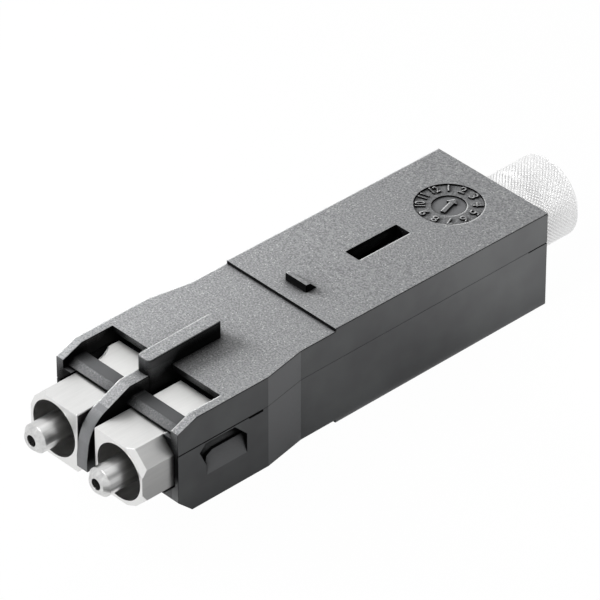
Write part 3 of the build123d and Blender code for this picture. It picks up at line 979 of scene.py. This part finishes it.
@dataclass
class CrimpNeck:
    """Knurled tube that the cable's sleeve is crimped on.

    Attributes:
        outside_mm: Radius over the knurl.
        bore_mm: Radius of the bore.
        front_mm: Radius of the spigot at the front.
        flange_mm: Radius of the flange that locks the neck in the casing.
        waist_mm: Radius between the flange and the knurl.
        flange_start_mm: Place of the flange, from the front.
        flange_end_mm: Where the flange ends, from the front.
        knurl_teeth: Teeth round the neck, one way.
        knurl_depth_mm: Depth of the knurl's grooves.
        steps_per_tooth: Points drawn per tooth.
        bevel_mm: Height of the bevel at which the knurled part starts.
        bevel_length_mm: Its length.
        plain_mm: Length before the knurl's first row.
        fade_rows: Rows over which the knurl runs out at its ends.
        chamfer_mm: Chamfer at the rear, outside.
        mouth_mm: Chamfer at the rear, inside.
        front_chamfer_mm: Chamfer at the front, inside.
        gap_mm: Gap between the casing and the knurled part.
    """

    node: str = "crimp_neck"
    outside_mm: float = 3.65
    bore_mm: float = 2.5
    front_mm: float = 2.9
    flange_mm: float = 3.6
    waist_mm: float = 3.0
    flange_start_mm: float = 1.3
    flange_end_mm: float = 2.5
    knurl_teeth: int = 64
    knurl_depth_mm: float = 0.08
    steps_per_tooth: int = 6
    bevel_mm: float = 0.1
    bevel_length_mm: float = 0.06
    plain_mm: float = 0.1
    fade_rows: int = 2
    chamfer_mm: float = 0.25
    mouth_mm: float = 0.08
    front_chamfer_mm: float = 0.2
    gap_mm: float = 0.02

    def relief(self, turn: float, along: float) -> float:
        """Depth of the knurl below the outside.

        Args:
            turn: Place round the neck, in teeth.
            along: Place along the neck, in teeth.

        Returns:
            Depth in millimetres.
        """
        groove_a = abs((turn + along) % 1.0 - 0.5) * 2
        groove_b = abs((turn - along) % 1.0 - 0.5) * 2
        return self.knurl_depth_mm * max(groove_a, groove_b) ** 2

    def ring(self, radii: Sequence[float], y: float, height: float) -> list[Vector]:
        """One ring of points, with its own radius at each.

        Args:
            radii: Radius at each point, in millimetres.
            y: Place along the body, in millimetres.
            height: Height of the axis, in millimetres.

        Returns:
            Points in metres.
        """
        step = 2 * math.pi / len(radii)
        return [
            Vector((radius * math.cos(step * i), y, height + radius * math.sin(step * i))) * MM
            for i, radius in enumerate(radii)
        ]

    def knurled_rings(self, start: float, end: float, height: float) -> list[list[Vector]]:
        """Rings of the knurled part.

        Args:
            start: Where the knurled part starts along the body, in millimetres.
            end: Where it ends.
            height: Height of the axis, in millimetres.

        Returns:
            Rings of points in metres, from front to rear.
        """
        count = self.knurl_teeth * self.steps_per_tooth
        pitch = 2 * math.pi * self.outside_mm / self.knurl_teeth
        length = end - start - self.plain_mm
        rows = int(length / pitch * self.steps_per_tooth)
        rings = []
        for row in range(rows + 1):
            y = start + self.plain_mm + length * row / rows
            along = (y - start) / pitch
            fade = min(1.0, row / self.fade_rows, (rows - row) / self.fade_rows)
            radii = [
                self.outside_mm - self.relief(i / self.steps_per_tooth, along) * fade for i in range(count)
            ]
            rings.append(self.ring(radii, y, height))
        return rings

    def build(self, material: Material) -> Object:
        """Make the neck in place of the plain CAD one.

        Args:
            material: Finish of the metal.

        Returns:
            The knurled piece.
        """
        low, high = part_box(self.node)
        height, front, rear = (low.z + high.z) / 2 / MM, low.y / MM, high.y / MM
        casing_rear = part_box("upper_shell")[1].y / MM
        start = casing_rear + self.gap_mm
        before = [
            (self.bore_mm + self.front_chamfer_mm, front),
            (self.front_mm, front),
            (self.front_mm, front + self.flange_start_mm),
            (self.flange_mm, front + self.flange_start_mm),
            (self.flange_mm, front + self.flange_end_mm),
            (self.waist_mm, front + self.flange_end_mm),
            (self.waist_mm, start),
            (self.outside_mm - self.bevel_mm, start),
            (self.outside_mm, start + self.bevel_length_mm),
        ]
        after = [
            (self.outside_mm - self.chamfer_mm, rear),
            (self.bore_mm + self.mouth_mm, rear),
            (self.bore_mm, rear - self.mouth_mm),
            (self.bore_mm, front + self.front_chamfer_mm),
        ]
        count = self.knurl_teeth * self.steps_per_tooth
        rings = [self.ring([radius] * count, y, height) for radius, y in before]
        rings += self.knurled_rings(start, rear - self.chamfer_mm, height)
        rings += [self.ring([radius] * count, y, height) for radius, y in after]
        mesh = bmesh.new()
        join_rings(mesh, rings, closed=True)
        piece = mesh_piece("knurled_neck", mesh, material, smooth=False)
        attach(piece, CASING_BODY)
        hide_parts(self.node)
        return piece


@dataclass
class FerruleUnit:
    """One channel: square housing, ferrule, spring, stop bush and crimp ring.

    Attributes:
        wire_mm: Diameter of the spring's wire.
        outside_mm: Outside diameter of the spring.
        coils: Turns of the wire.
        dead_coils: Turns that lie flat at each end.
        dead_share: Share of the spring's length that they take up at each end.
        travel_mm: Stroke of the ferrule; not used.
        points_per_turn: Rings of points drawn per turn.
        wire_points: Points round the wire.
    """

    side: Side
    wire_mm: float = 0.4
    outside_mm: float = 3.9
    coils: float = 5.5
    dead_coils: float = 0.9
    dead_share: float = 0.1
    travel_mm: float = 1.0
    points_per_turn: int = 28
    wire_points: int = 10

    def node(self, stem: str) -> str:
        """Name of this channel's CAD node."""
        return f"{stem}_{self.side.value}"

    def coil_pitch(self, share: float) -> float:
        """Advance of the wire's centre, eased so that both ends lie flat.

        Args:
            share: Place along the wire, from 0 to 1.

        Returns:
            Share of the spring's length reached there.
        """
        flat = self.dead_coils / self.coils
        if share < flat:
            return self.dead_share * share / flat
        if share > 1 - flat:
            return 1 - self.dead_share * (1 - share) / flat
        return self.dead_share + (1 - 2 * self.dead_share) * (share - flat) / (1 - 2 * flat)

    def wire_ring(self, middle: Vector, outward: Vector) -> list[Vector]:
        """Points round the wire at one place.

        Args:
            middle: Centre of the wire, in millimetres.
            outward: Direction away from the spring's axis.

        Returns:
            Points in metres.
        """
        ring = []
        for k in range(self.wire_points):
            swing = 2 * math.pi * k / self.wire_points
            reach = outward * math.cos(swing) + Vector((0, math.sin(swing), 0))
            ring.append((middle + reach * self.wire_mm / 2) * MM)
        return ring

    def build_spring(self, material: Material) -> Object:
        """Wind the spring in place of the plain CAD one.

        Args:
            material: Finish of the wire.

        Returns:
            The spring.
        """
        low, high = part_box(self.node("ferrule_spring"))
        centre = (low + high) / 2
        radius = (self.outside_mm - self.wire_mm) / 2
        turns = int(self.coils * self.points_per_turn)
        full = (high.y - low.y) / MM
        rings = []
        for i in range(turns + 1):
            angle = 2 * math.pi * i / self.points_per_turn
            outward = Vector((math.cos(angle), 0, math.sin(angle)))
            y = low.y / MM + self.wire_mm / 2 + (full - self.wire_mm) * self.coil_pitch(i / turns)
            middle = Vector((centre.x / MM, y, centre.z / MM)) + outward * radius
            rings.append(self.wire_ring(middle, outward))
        mesh = bmesh.new()
        join_rings(mesh, rings)
        mesh.verts.ensure_lookup_table()
        last = len(mesh.verts)
        mesh.faces.new(mesh.verts[i] for i in range(self.wire_points))
        mesh.faces.new(mesh.verts[i] for i in range(last - self.wire_points, last))
        piece = mesh_piece(f"wound_spring_{self.side.value}", mesh, material, smooth=True)
        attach(piece, CASING_BODY)
        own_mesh(piece)
        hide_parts(self.node("ferrule_spring"))
        return piece

    def build(self, finishes: dict[str, Material]) -> Object:
        """Dress the channel's CAD pieces and wind its spring.

        Args:
            finishes: Materials by the stem of the CAD nodes' names.

        Returns:
            The spring.
        """
        for stem in ("square_housing", "ferrule", "stop_bush", "fibre_crimp_ring"):
            dress([self.node(stem)], finishes[stem])
        return self.build_spring(finishes["ferrule_spring"])


@dataclass
class DateDial:
    """Raised figures on the floor of the round recess in the casing's top.

    Attributes:
        floor_mm: Height of the recess's floor at its middle.
        slope: Fall of the floor per millimetre towards the rear.
        figure_ring_mm: Radius on which the figures stand.
        figure_mm: Height of a figure.
        bold_mm: How far its outline is widened.
        narrow: Width of a two-digit figure, as a share.
        raised_mm: Thickness of a figure.
        sink_mm: How far a piece goes into the surface below it.
        hub_depth_mm: Depth of the hub's recess below the floor.
        arrow_length_mm: Length of the pointer.
        arrow_half_mm: Half the width of its bar.
        arrow_head_half_mm: Half the width of its head.
        arrow_head_mm: Length of its head.
        arrow_raised_mm: How far it stands up over the dial's floor.
        zero_deg: Turn of the twelfth figure.
        pointer_deg: Turn of the pointer.
    """

    floor_mm: float = 8.803
    slope: float = 0.25 / 23.3
    figure_ring_mm: float = 2.28
    figure_mm: float = 1.2
    bold_mm: float = 0.012
    narrow: float = 0.72
    raised_mm: float = 0.14
    sink_mm: float = 0.01
    hub_depth_mm: float = 0.12
    arrow_length_mm: float = 2.1
    arrow_half_mm: float = 0.2
    arrow_head_half_mm: float = 0.48
    arrow_head_mm: float = 0.6
    arrow_raised_mm: float = 0.04
    zero_deg: float = 76.9
    pointer_deg: float = 16.9

    def place(self, x: float, y: float, turn: float) -> Matrix:
        """Frame on the dial's floor, with its up direction turned round Z.

        Args:
            x: Millimetres from the dial's centre towards +X.
            y: Millimetres from the dial's centre towards +Y.
            turn: Turn round the dial's normal, in radians.

        Returns:
            Matrix in metres.
        """
        origin = Vector((x, DIAL_Y_MM + y, self.floor_mm - self.slope * y)) * MM
        tilt = Matrix.Rotation(-math.atan(self.slope), 4, "X")
        return Matrix.Translation(origin) @ tilt @ Matrix.Rotation(turn, 4, "Z")

    def figure(self, text: str, spot: Matrix) -> bmesh.types.BMesh:
        """Raised numeral as a mesh.

        Args:
            text: The numeral.
            spot: Where it stands.

        Returns:
            Its geometry.
        """
        curve = bpy.data.curves.new("figure", "FONT")
        curve.body = text
        curve.size = self.figure_mm * MM
        curve.align_x = "CENTER"
        curve.align_y = "CENTER"
        curve.extrude = self.raised_mm * MM / 2
        curve.resolution_u = 3
        curve.offset = self.bold_mm * MM
        holder = bpy.data.objects.new("figure", curve)
        bpy.context.scene.collection.objects.link(holder)
        bpy.context.view_layer.update()
        evaluated = holder.evaluated_get(bpy.context.evaluated_depsgraph_get())
        data = bpy.data.meshes.new_from_object(evaluated)
        bpy.data.objects.remove(holder)
        mesh = bmesh.new()
        mesh.from_mesh(data)
        bpy.data.meshes.remove(data)
        bmesh.ops.remove_doubles(mesh, verts=mesh.verts, dist=0.0001 * MM)
        lift = Matrix.Translation((0, 0, (self.raised_mm / 2 - self.sink_mm) * MM))
        squeeze = Matrix.Scale(self.narrow if len(text) > 1 else 1.0, 4, (1, 0, 0))
        bmesh.ops.transform(mesh, matrix=spot @ lift @ squeeze, verts=mesh.verts)
        return mesh

    def arrow(self) -> bmesh.types.BMesh:
        """Raised pointer: a bar with an arrow's head."""
        half, wide, tip = self.arrow_half_mm, self.arrow_head_half_mm, self.arrow_length_mm / 2
        neck = tip - self.arrow_head_mm
        right = [(half, -tip), (half, neck), (wide, neck)]
        outline = right + [(0, tip)] + [(-x, y) for x, y in reversed(right)]
        mesh = bmesh.new()
        spot = self.place(0, 0, math.radians(self.pointer_deg))
        low, high = (
            [mesh.verts.new(spot @ (Vector((x, y, z)) * MM)) for x, y in outline]
            for z in (-self.hub_depth_mm - self.sink_mm, self.arrow_raised_mm)
        )
        mesh.faces.new(low)
        mesh.faces.new(high)
        for i in range(len(outline)):
            j = (i + 1) % len(outline)
            mesh.faces.new((low[i], low[j], high[j], high[i]))
        return mesh

    def build(self, material: Material) -> list[Object]:
        """Make the figures and the pointer.

        Args:
            material: Finish of the casing.

        Returns:
            The raised pieces.
        """
        pieces = []
        for hour in range(1, 13):
            angle = math.radians(self.zero_deg - 30 * hour)
            x = -self.figure_ring_mm * math.sin(angle)
            y = self.figure_ring_mm * math.cos(angle)
            mesh = self.figure(str(hour), self.place(x, y, angle))
            pieces.append(mesh_piece(f"dial_figure_{hour:02d}", mesh, material, smooth=False))
        pieces.append(mesh_piece("dial_pointer", self.arrow(), material, smooth=False))
        for piece in pieces:
            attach(piece, CASING_BODY)
        return pieces


@dataclass
class CasingShells:
    """The two moulded halves and what is raised on them."""

    nodes: tuple[str, str] = ("lower_shell", "upper_shell")
    dial: DateDial = field(default_factory=DateDial)

    def build(self, material: Material) -> list[Object]:
        """Dress the shells and raise the dial's figures.

        Args:
            material: Finish of the casing.

        Returns:
            The raised pieces.
        """
        dress(self.nodes, material)
        return self.dial.build(material)


@dataclass(frozen=True)
class Lamp:
    """Soft square lamp that faces the object.

    Attributes:
        level: Brightness that it gives the object, whatever its distance.
    """

    name: str
    place_mm: Point
    size_mm: float
    level: float
    use: LampUse = LampUse.FORM

    def build(self) -> Object:
        """Make the lamp."""
        data = bpy.data.lights.new(self.name, "AREA")
        data.shape = "SQUARE"
        data.size = self.size_mm * MM
        spot = Vector(self.place_mm) * MM
        data.energy = self.level * math.pi**2 * spot.length_squared
        lamp = bpy.data.objects.new(self.name, data)
        lamp.matrix_world = Matrix.Translation(spot) @ spot.to_track_quat("Z", "Y").to_matrix().to_4x4()
        lamp.visible_glossy = self.use is LampUse.GLOSS
        lamp.visible_diffuse = self.use is LampUse.FORM
        bpy.context.scene.collection.objects.link(lamp)
        log.info("lamp %s at %s", self.name, self.place_mm)
        return lamp


@dataclass(frozen=True)
class GreyCard:
    """Glowing grey card by the object, hidden from the camera and from shadows, that stands in for the
    surroundings on its side in reflections and soft light.

    Attributes:
        corners_mm: Its four corners.
        shades: Shades along Y, from span_mm in front of the middle to span_mm behind it.
        near: Shade that they are multiplied with close to the object.
        strength: Brightness of a white shade.
        near_mm: Place along X where the near shade is full.
        away_mm: Place along X where it ends.
    """

    name: str
    corners_mm: tuple[Point, ...]
    shades: tuple[tuple[float, str], ...]
    near: str = "#ffffff"
    strength: float = 1.0
    span_mm: float = 40.0
    near_mm: float = 7.0
    away_mm: float = 15.0

    def build(self) -> Object:
        """Make the card."""
        mesh = bmesh.new()
        mesh.faces.new([mesh.verts.new(Vector(corner) * MM) for corner in self.corners_mm])
        material, tree = new_material(f"grey_board_{self.name}")
        place = add_node(tree, "ShaderNodeTexCoord").outputs["Object"]
        spot = add_node(tree, "ShaderNodeSeparateXYZ", inputs={0: place}).outputs
        tones = []
        for axis, low, high, stops in (
            ("Y", -self.span_mm, self.span_mm, self.shades),
            ("X", self.near_mm, self.away_mm, ((0.0, self.near), (1.0, "#ffffff"))),
        ):
            reach = add_node(
                tree,
                "ShaderNodeMapRange",
                inputs={"Value": spot[axis], "From Min": low * MM, "From Max": high * MM},
            ).outputs["Result"]
            tones.append(
                add_node(tree, "ShaderNodeValToRGB", inputs={"Fac": reach}, stops=stops).outputs["Color"]
            )
        tint = add_node(
            tree,
            "ShaderNodeMix",
            MULTIPLY_COLOURS,
            {"Factor": 1.0, COLOUR_A: tones[0], COLOUR_B: tones[1]},
        ).outputs[MIXED_COLOUR]
        shade = add_node(tree, "ShaderNodeEmission", inputs={"Color": tint, "Strength": self.strength})
        close_surface(tree, shade)
        card = mesh_piece(self.name, mesh, material, smooth=False)
        card.visible_camera = False
        card.visible_shadow = False
        return card


@dataclass
class Studio:
    """White sweep, soft lamps, grey cards and the long-lens camera.

    Attributes:
        azimuth_deg: Turn of the camera round the object.
        elevation_deg: Its height angle.
        distance_mm: Its distance.
        across_mm: Shift of its target to the right.
        up_mm: Shift of its target upwards.
        origin_mm: Point that the shifts start from.
        clip_m: Nearest and farthest distance that it draws.
        floor_half_mm: Half the width of the floor.
        floor_drop_mm: How far the floor lies below the object.
        fibre_mm: Size of the paper's fibre clumps.
        white_share: Share of plain white that direct rays see on the floor.
        ambient: Level of the surroundings on the object.
    """

    azimuth_deg: float = 46.89
    elevation_deg: float = 35.98
    distance_mm: float = 475.0
    across_mm: float = 1.50
    up_mm: float = 7.02
    origin_mm: Point = (0.0, -3.485, -0.08)
    lens_mm: float = 360.0
    sensor_mm: float = 36.0
    clip_m: tuple[float, float] = (0.05, 20.0)
    floor_half_mm: float = 600.0
    floor_drop_mm: float = 0.1
    fibre_mm: float = 0.8
    white_share: float = 0.985
    ambient: float = 0.33
    lamps: tuple[Lamp, ...] = (
        Lamp("key", (-305.0, 163.0, 205.0), 110.0, 0.12),
        Lamp("front_left", (-58.0, -34.0, 40.0), 30.0, 1.2),
        Lamp("front", (-140.0, -330.0, 120.0), 120.0, 0.2),
        Lamp("softbox_above", (0.0, -25.0, 75.0), 40.0, 0.6, LampUse.GLOSS),
    )
    cards: tuple[GreyCard, ...] = (
        GreyCard(
            "floor_card",
            ((6.4, -40, 0.05), (70, -40, 0.05), (70, 60, 0.05), (6.4, 60, 0.05)),
            ((0.4, "#9b9b9b"), (0.47, "#b0b0b0"), (0.6, "#b0b0b0"), (0.75, "#ffffff")),
            near="#b4b4b4",
            strength=1.4,
        ),
        GreyCard(
            "rear_card",
            ((60, 190, 60), (190, 60, 60), (190, 60, 200), (60, 190, 200)),
            ((0.0, "#a6a6a6"), (1.0, "#a6a6a6")),
        ),
    )

    def directions(self) -> tuple[Vector, Vector, Vector]:
        """Right, up and back directions of the camera."""
        a, e = math.radians(self.azimuth_deg), math.radians(self.elevation_deg)
        back = Vector((math.sin(a) * math.cos(e), -math.cos(a) * math.cos(e), math.sin(e)))
        right = Vector((math.cos(a), math.sin(a), 0))
        return right, back.cross(right), back

    def add_camera(self) -> Object:
        """Place the camera at the photograph's angle."""
        right, up, back = self.directions()
        data = bpy.data.cameras.new("camera")
        data.lens = self.lens_mm
        data.sensor_width = self.sensor_mm
        data.clip_start, data.clip_end = self.clip_m
        camera = bpy.data.objects.new("camera", data)
        target = Vector(self.origin_mm) + right * self.across_mm + up * self.up_mm
        turn = Matrix((right, up, back)).transposed().to_4x4()
        camera.matrix_world = Matrix.Translation((target + back * self.distance_mm) * MM) @ turn
        bpy.context.scene.collection.objects.link(camera)
        bpy.context.scene.camera = camera
        return camera

    def add_floor(self) -> Object:
        """Pale floor that looks white to the camera and in reflections."""
        half, height = self.floor_half_mm * MM, -self.floor_drop_mm * MM
        mesh = bmesh.new()
        corners = ((-half, -half), (half, -half), (half, half), (-half, half))
        mesh.faces.new([mesh.verts.new((x, y, height)) for x, y in corners])
        material, tree = new_material("white_paper_sweep")
        place = add_node(tree, "ShaderNodeTexCoord").outputs["Object"]
        fibres = add_node(
            tree,
            "ShaderNodeTexNoise",
            inputs={"Vector": place, "Scale": 1 / (self.fibre_mm * MM), "Detail": 2.0},
        ).outputs["Fac"]
        tint = add_node(
            tree, "ShaderNodeValToRGB", inputs={"Fac": fibres}, stops=((0.3, "#f7f7f7"), (0.7, "#fdfdfd"))
        ).outputs["Color"]
        paper = add_node(tree, "ShaderNodeBsdfPrincipled", inputs={"Base Color": tint, "Roughness": 0.9})
        white = add_node(tree, "ShaderNodeEmission", inputs={"Color": linear("#ffffff"), "Strength": 1.0})
        share = add_node(
            tree, "ShaderNodeMath", MULTIPLY, {0: seen_directly(tree), 1: self.white_share}
        ).outputs[0]
        mixed = add_node(
            tree, "ShaderNodeMixShader", inputs={0: share, 1: paper.outputs[0], 2: white.outputs[0]}
        )
        close_surface(tree, mixed)
        floor = mesh_piece("floor", mesh, material, smooth=False)
        return floor

    def light_world(self) -> None:
        """White surroundings to the eye, with a lower level on the object."""
        world = bpy.data.worlds.new("studio")
        bpy.context.scene.world = world
        world.use_nodes = True
        tree = world.node_tree
        tree.nodes.clear()
        level = add_node(
            tree,
            "ShaderNodeMapRange",
            inputs={"Value": seen_directly(tree), "To Min": self.ambient, "To Max": 1.0},
        ).outputs["Result"]
        sky = add_node(
            tree, "ShaderNodeBackground", inputs={"Color": linear("#ffffff"), "Strength": level}
        )
        add_node(tree, "ShaderNodeOutputWorld", inputs={"Surface": sky.outputs[0]})

    def build(self) -> None:
        """Set the view transform and make the whole studio."""
        bpy.context.scene.view_settings.view_transform = "Standard"
        self.add_camera()
        self.add_floor()
        for card in self.cards:
            card.build()
        self.light_world()
        for lamp in self.lamps:
            lamp.build()


def main() -> None:
    """Dress the frame and build the pieces that the frame leaves plain."""
    logging.basicConfig(level=logging.INFO, format="%(name)s: %(message)s")
    finishes = {
        "square_housing": HOUSING_METAL.build(),
        "ferrule": FERRULE_METAL.build(),
        "stop_bush": BUSH_METAL.build(),
        "fibre_crimp_ring": RING_METAL.build(),
        "ferrule_spring": SPRING_METAL.build(),
    }
    for side in Side:
        FerruleUnit(side).build(finishes)
    CrimpNeck().build(NECK_METAL.build())
    CasingShells().build(CASING_PLASTIC.build())
    Studio().build()


if __name__ == "__main__":
    main()
